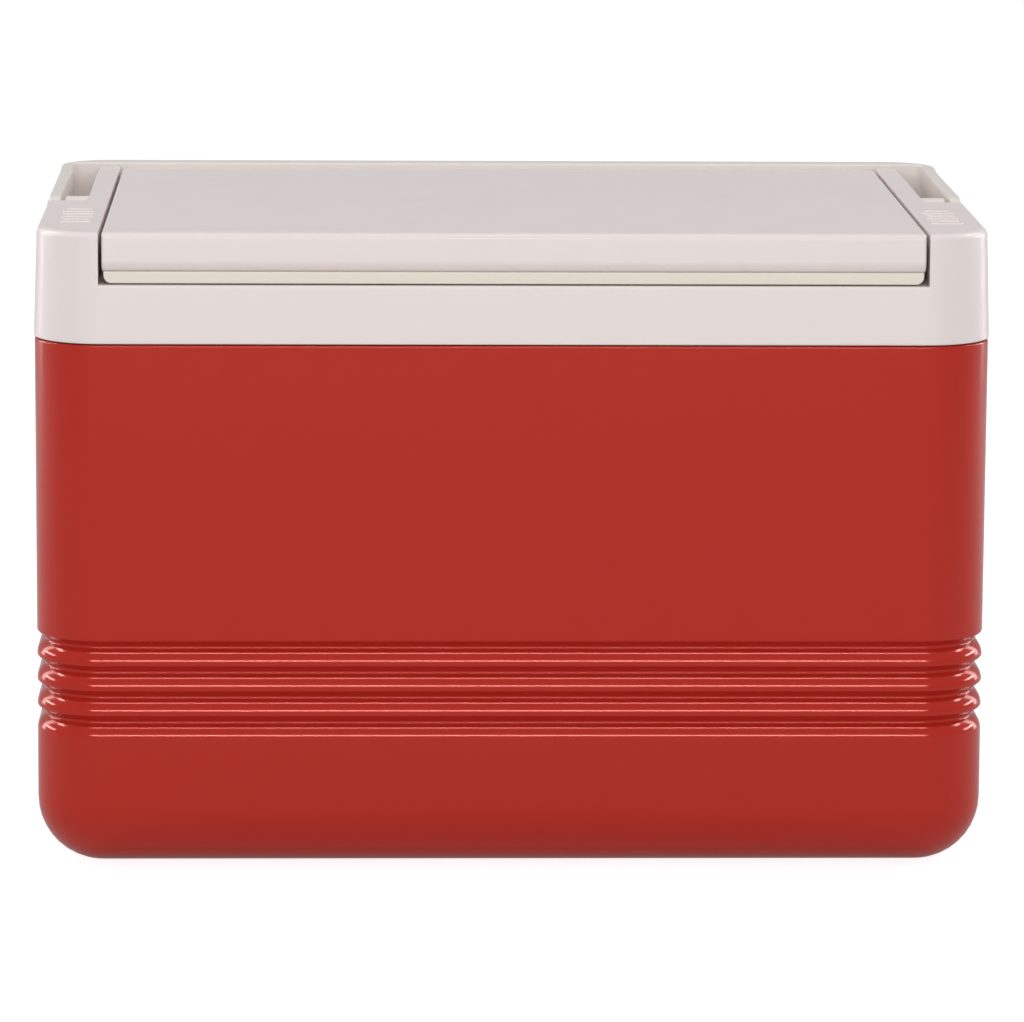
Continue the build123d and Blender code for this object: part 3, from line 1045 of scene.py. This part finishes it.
@dataclass
class BailHandle:
    """The one-piece bail: two arms with round hubs and a hollow grip bar across the back."""

    arm: float = 4.4
    bar: float = 10.2
    corner: float = 19.0
    inner_corner: float = 3.0
    hub_radius: float = 8.0
    pivot_z: float = 232.6
    flare_start: float = 84.0
    flare_end: float = 99.0
    edge_round: float = 1.0
    grip_half_width: float = 150.0
    cells: int = 6
    grip_wall: float = 1.6
    cell_wall: float = 0.8
    cell_depth: float = 17.0

    def build(self) -> bpy.types.Object:
        """Model one half of the handle and mirror it."""
        low, high = span("carry_handle")
        mesh = bmesh.new()
        outer = rounded_line(
            [Corner(0, high.y), Corner(high.x, high.y, self.corner), Corner(high.x, 0)], turn=6
        )
        inner = rounded_line(
            [
                Corner(high.x - self.arm, 0),
                Corner(high.x - self.arm, high.y - self.bar, self.inner_corner),
                Corner(0, high.y - self.bar),
            ]
        )
        plan = face_from(mesh, [Vector((u, v, low.z)) * MM for u, v in outer + inner])
        push(mesh, [plan], Vector((0, 0, high.z - low.z)) * MM)
        for place in (self.flare_start, self.flare_end):
            cut(mesh, 1, place)
        for vert in mesh.verts:
            if vert.co.y < (self.flare_start + 0.1) * MM:
                above = vert.co.z > self.pivot_z * MM
                vert.co.z = (self.pivot_z + (self.hub_radius if above else -self.hub_radius)) * MM
        self._round_hub(mesh, high.x)
        self._hollow_grip(mesh, low.z)
        bmesh.ops.recalc_face_normals(mesh, faces=mesh.faces)
        middle = [e for e in sharp_edges(mesh, 40) if not all(abs(v.co.x) < 1e-6 for v in e.verts)]
        soften(mesh, [e for e in middle if self._is_outer(e, low.z)], self.edge_round, 3)
        caps = [f for f in mesh.faces if all(abs(v.co.x) < 1e-6 for v in f.verts)]
        bmesh.ops.delete(mesh, geom=caps, context="FACES")
        half = mesh.verts[:] + mesh.edges[:] + mesh.faces[:]
        bmesh.ops.mirror(mesh, geom=half, axis="X", merge_dist=MERGE)
        return finish_mesh(mesh, "bail_handle", crease=38)

    def _is_outer(self, edge: bmesh.types.BMEdge, bottom: float) -> bool:
        """Tell whether an edge belongs to the handle's outside and not to its hollow."""
        walls = self.grip_wall + self.cell_wall
        high_y = span("carry_handle")[1].y
        front, rear = high_y - (self.bar - walls) - 1e-3, high_y - walls + 1e-3
        places = [v.co / MM for v in edge.verts]
        hollow = [front < p.y < rear for p in places]
        return not (all(hollow) and all(p.x < self.grip_half_width for p in places))

    def _round_hub(self, mesh: bmesh.types.BMesh, outside: float) -> None:
        """Close the arm's front end by a half turn about the pivot."""
        ends = [f for f in mesh.faces if all(abs(v.co.y) < 1e-6 for v in f.verts)]
        ends = [f for f in ends if f.calc_center_median().x > (outside - self.arm) * MM]
        bmesh.ops.delete(mesh, geom=ends, context="FACES")
        top = [
            e
            for e in mesh.edges
            if all(abs(v.co.y) < 1e-6 and v.co.z > self.pivot_z * MM for v in e.verts)
            and abs(e.verts[0].co.x - e.verts[1].co.x) > 1e-4
        ]
        bmesh.ops.spin(
            mesh,
            geom=top,
            cent=Vector((0, 0, self.pivot_z * MM)),
            axis=Vector((1, 0, 0)),
            angle=math.pi,
            steps=20,
        )
        bmesh.ops.remove_doubles(mesh, verts=mesh.verts, dist=MERGE)
        holes = [e for e in mesh.edges if len(e.link_faces) == 1]
        bmesh.ops.holes_fill(mesh, edges=holes, sides=0)

    def _hollow_grip(self, mesh: bmesh.types.BMesh, bottom: float) -> None:
        """Sink ribbed cells into the underside of the grip bar."""
        level = bottom * MM
        width = self.grip_half_width / self.cells
        for index in range(1, self.cells + 1):
            cut(mesh, 0, index * width, flat_faces(mesh, level))
        limit = self.grip_half_width * MM
        cells = [f for f in flat_faces(mesh, level) if f.calc_center_median().x < limit]
        bmesh.ops.inset_individual(mesh, faces=cells, thickness=self.grip_wall * MM, use_even_offset=True)
        for cell in cells:
            push(mesh, [cell], Vector((0, 0, self.cell_depth * MM)))
        bmesh.ops.delete(mesh, geom=[f for f in cells if f.is_valid], context="FACES_ONLY")

    def dress(self, piece: bpy.types.Object, shop: Paintshop) -> None:
        """Paint the handle and hang it on its body."""
        shop.dress(piece, Finish.HANDLE_WHITE)
        install(piece, "handle", "handle_white", "carry_handle")


@dataclass
class HandlePivot:
    """One pivot that carries the handle, with a low domed head outside the arm."""

    side: int
    shaft_radius: float = 3.5
    head_radius: float = 6.0
    head_edge: float = 0.8
    proud: float = 0.9

    @property
    def node(self) -> str:
        """Name the CAD node that the pivot stands for."""
        return "handle_pivot_left" if self.side < 0 else "handle_pivot_right"

    def build(self) -> bpy.types.Object:
        """Model the pivot as a shaft and a rounded head."""
        low, high = span(self.node)
        inner, outer = sorted((abs(low.x), abs(high.x)))
        mesh = bmesh.new()
        height = (low.z + high.z) / 2
        self._disc(mesh, inner, outer, height, self.shaft_radius)
        head = self._disc(mesh, outer - 1.0, outer + self.proud, height, self.head_radius)
        limit = (outer + self.proud - 0.01) * MM
        rim = {e for v in head for e in v.link_edges if all(abs(w.co.x) > limit for w in e.verts)}
        soften(mesh, rim, self.head_edge, 4)
        return finish_mesh(mesh, self.node + "_head", crease=50)

    def _disc(
        self, mesh: bmesh.types.BMesh, inner: float, outer: float, height: float, radius: float
    ) -> list[bmesh.types.BMVert]:
        """Add a cylinder across the cooler between two distances from its middle."""
        spot = Matrix.Translation(Vector((self.side * (inner + outer) / 2, 0, height)) * MM)
        return bmesh.ops.create_cone(
            mesh,
            cap_ends=True,
            segments=48,
            radius1=radius * MM,
            radius2=radius * MM,
            depth=(outer - inner) * MM,
            matrix=spot @ Matrix.Rotation(math.pi / 2, 4, "Y"),
        )["verts"]

    def dress(self, piece: bpy.types.Object, shop: Paintshop) -> None:
        """Paint the pivot and put it on the tub."""
        shop.dress(piece, Finish.PIN_NYLON)
        install(piece, "tub", "pin_white", self.node)


@dataclass
class SmallParts:
    """The CAD nodes that stay as they are: the hinge pins and the sealed foams."""

    finishes: dict[str, Finish] = field(
        default_factory=lambda: {
            "hinge_pin_left": Finish.PIN_NYLON,
            "hinge_pin_right": Finish.PIN_NYLON,
            "body_foam": Finish.FOAM_YELLOW,
            "lid_foam": Finish.FOAM_YELLOW,
        }
    )

    def dress(self, shop: Paintshop) -> None:
        """Paint each of the nodes."""
        for name, finish in self.finishes.items():
            shop.dress(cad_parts[name], finish)
            LOG.info("%s: CAD node, painted %s", name, finish.value.name)


# ---------------------------------------------------------------- studio


@dataclass(frozen=True)
class SoftLight:
    """One soft box, in metres and watts."""

    name: str
    place: tuple[float, float, float]
    aim: tuple[float, float, float]
    width: float
    height: float
    power: float

    def build(self) -> None:
        """Hang the light and turn it to what it lights."""
        data = bpy.data.lights.new(self.name, "AREA")
        data.shape = "RECTANGLE"
        data.size, data.size_y = self.width, self.height
        data.energy = self.power
        lamp = bpy.data.objects.new(self.name, data)
        lamp.location = self.place
        way = Vector(self.aim) - Vector(self.place)
        lamp.rotation_euler = way.to_track_quat("-Z", "Y").to_euler()
        bpy.context.scene.collection.objects.link(lamp)


@dataclass
class Studio:
    """The pale floor, the soft lights, the surroundings and the camera."""

    camera_place: tuple[float, float, float] = (-0.06452, -2.19400, 0.49462)
    camera_turn: float = 0.0308
    camera_tilt: float = 0.1705
    camera_roll: float = 0.0061
    lens: float = 200.225
    floor_size: float = 12.0
    surround: float = 0.40
    backdrop: float = 1.05
    floor_glow: float = 0.86
    floor_bounce: float = 0.2
    lights: tuple[SoftLight, ...] = (
        SoftLight("high_front_strip", (-0.03, -0.62, 1.55), (0, -0.1, 0.1), 1.2, 0.08, 4.9),
        SoftLight("low_front_strip", (-0.10, -2.1, 0.62), (0, -0.1, 0.1), 1.8, 0.11, 15.6),
        SoftLight("left_rear_box", (-1.30, 0.80, 0.45), (-0.1, 0, 0.12), 0.30, 1.10, 3.8),
        SoftLight("right_rear_box", (1.30, 0.80, 0.45), (0.1, 0, 0.12), 0.30, 1.10, 3.8),
        SoftLight("left_strip_high", (-1.15, 0.35, 1.05), (0, -0.05, 0.1), 0.6, 0.14, 3.5),
        SoftLight("right_strip_high", (1.15, 0.35, 1.05), (0, -0.05, 0.1), 0.6, 0.14, 3.5),
        SoftLight("left_strip_low", (-1.55, 0.40, 0.42), (0, -0.05, 0.1), 0.7, 0.12, 3.5),
        SoftLight("right_strip_low", (1.55, 0.40, 0.42), (0, -0.05, 0.1), 0.7, 0.12, 3.5),
    )

    def build(self) -> None:
        """Set up everything round the cooler."""
        self._floor()
        for light in self.lights:
            light.build()
        self._surroundings()
        self._camera()
        bpy.context.scene.view_settings.view_transform = "Standard"

    def _floor(self) -> None:
        """Lay the pale floor."""
        mesh = bmesh.new()
        bmesh.ops.create_grid(mesh, x_segments=4, y_segments=4, size=self.floor_size / 2)
        floor = finish_mesh(mesh, "studio_floor")
        material = bpy.data.materials.new("pale_floor")
        material.use_nodes = True
        tree = material.node_tree
        shader = tree.nodes["Principled BSDF"]
        shader.inputs["Roughness"].default_value = 0.9
        shader.inputs["Specular IOR Level"].default_value = 0.0
        shader.inputs["Emission Color"].default_value = (1, 1, 1, 1)
        seen = tree.nodes.new("ShaderNodeLightPath")
        glow = add_range(tree, 0, 1, self.floor_bounce, self.floor_glow)
        tree.links.new(seen.outputs["Is Camera Ray"], glow.inputs["Value"])
        tree.links.new(glow.outputs[0], shader.inputs["Emission Strength"])
        place = tree.nodes.new("ShaderNodeTexCoord")
        speckle = add_noise(tree, 3.0, 3.0, 0.5)
        tree.links.new(place.outputs["Object"], speckle.inputs["Vector"])
        tint = tree.nodes.new("ShaderNodeMix")
        tint.data_type = "RGBA"
        tint.inputs[6].default_value = (0.39, 0.39, 0.39, 1)
        tint.inputs[7].default_value = (0.41, 0.41, 0.41, 1)
        tree.links.new(speckle.outputs["Fac"], tint.inputs["Factor"])
        tree.links.new(tint.outputs[2], shader.inputs["Base Color"])
        floor.data.materials.append(material)

    def _surroundings(self) -> None:
        """Light the scene evenly from all round."""
        world = bpy.data.worlds.new("studio_world")
        bpy.context.scene.world = world
        world.use_nodes = True
        tree = world.node_tree
        backdrop = tree.nodes["Background"]
        backdrop.inputs["Color"].default_value = (1, 1, 1, 1)
        seen = tree.nodes.new("ShaderNodeLightPath")
        strength = add_range(tree, 0, 1, self.surround, self.backdrop)
        tree.links.new(seen.outputs["Is Camera Ray"], strength.inputs["Value"])
        tree.links.new(strength.outputs[0], backdrop.inputs["Strength"])

    def _camera(self) -> None:
        """Place the camera in front of the cooler, a little above it and to its left."""
        data = bpy.data.cameras.new("product_camera")
        data.lens = self.lens
        data.sensor_width = 36.0
        data.clip_end = 50.0
        camera = bpy.data.objects.new("product_camera", data)
        camera.location = self.camera_place
        turn = Euler((math.pi / 2 - self.camera_tilt, 0, -self.camera_turn), "XYZ").to_matrix()
        roll = Matrix.Rotation(self.camera_roll, 3, "Z")
        camera.rotation_euler = (turn @ roll).to_euler()
        bpy.context.scene.collection.objects.link(camera)
        bpy.context.scene.camera = camera


def report(piece: bpy.types.Object) -> None:
    """Log what a piece measures."""
    low = Vector(map(min, zip(*[v.co for v in piece.data.vertices]))) / MM
    high = Vector(map(max, zip(*[v.co for v in piece.data.vertices]))) / MM
    size = high - low
    LOG.info(
        "%s: %d faces, %.1f x %.1f x %.1f mm", piece.name, len(piece.data.polygons), size.x, size.y, size.z
    )


def main() -> None:
    """Build the cooler's looks, sub-assembly by sub-assembly."""
    logging.basicConfig(level=logging.INFO, format="%(name)s %(message)s")
    shop = Paintshop()
    Studio().build()
    shell, collar, tub, handle = BodyShell(), CollarRing(), FoodTub(), BailHandle()
    for maker in (shell, collar, tub, handle, HandlePivot(-1), HandlePivot(1)):
        piece = maker.build()
        maker.dress(piece, shop)
        report(piece)
    lid = Lid()
    cover, pan = lid.build_cover(), lid.build_pan()
    lid.dress(cover, pan, shop)
    report(cover)
    report(pan)
    SmallParts().dress(shop)


if __name__ == "__main__":
    main()
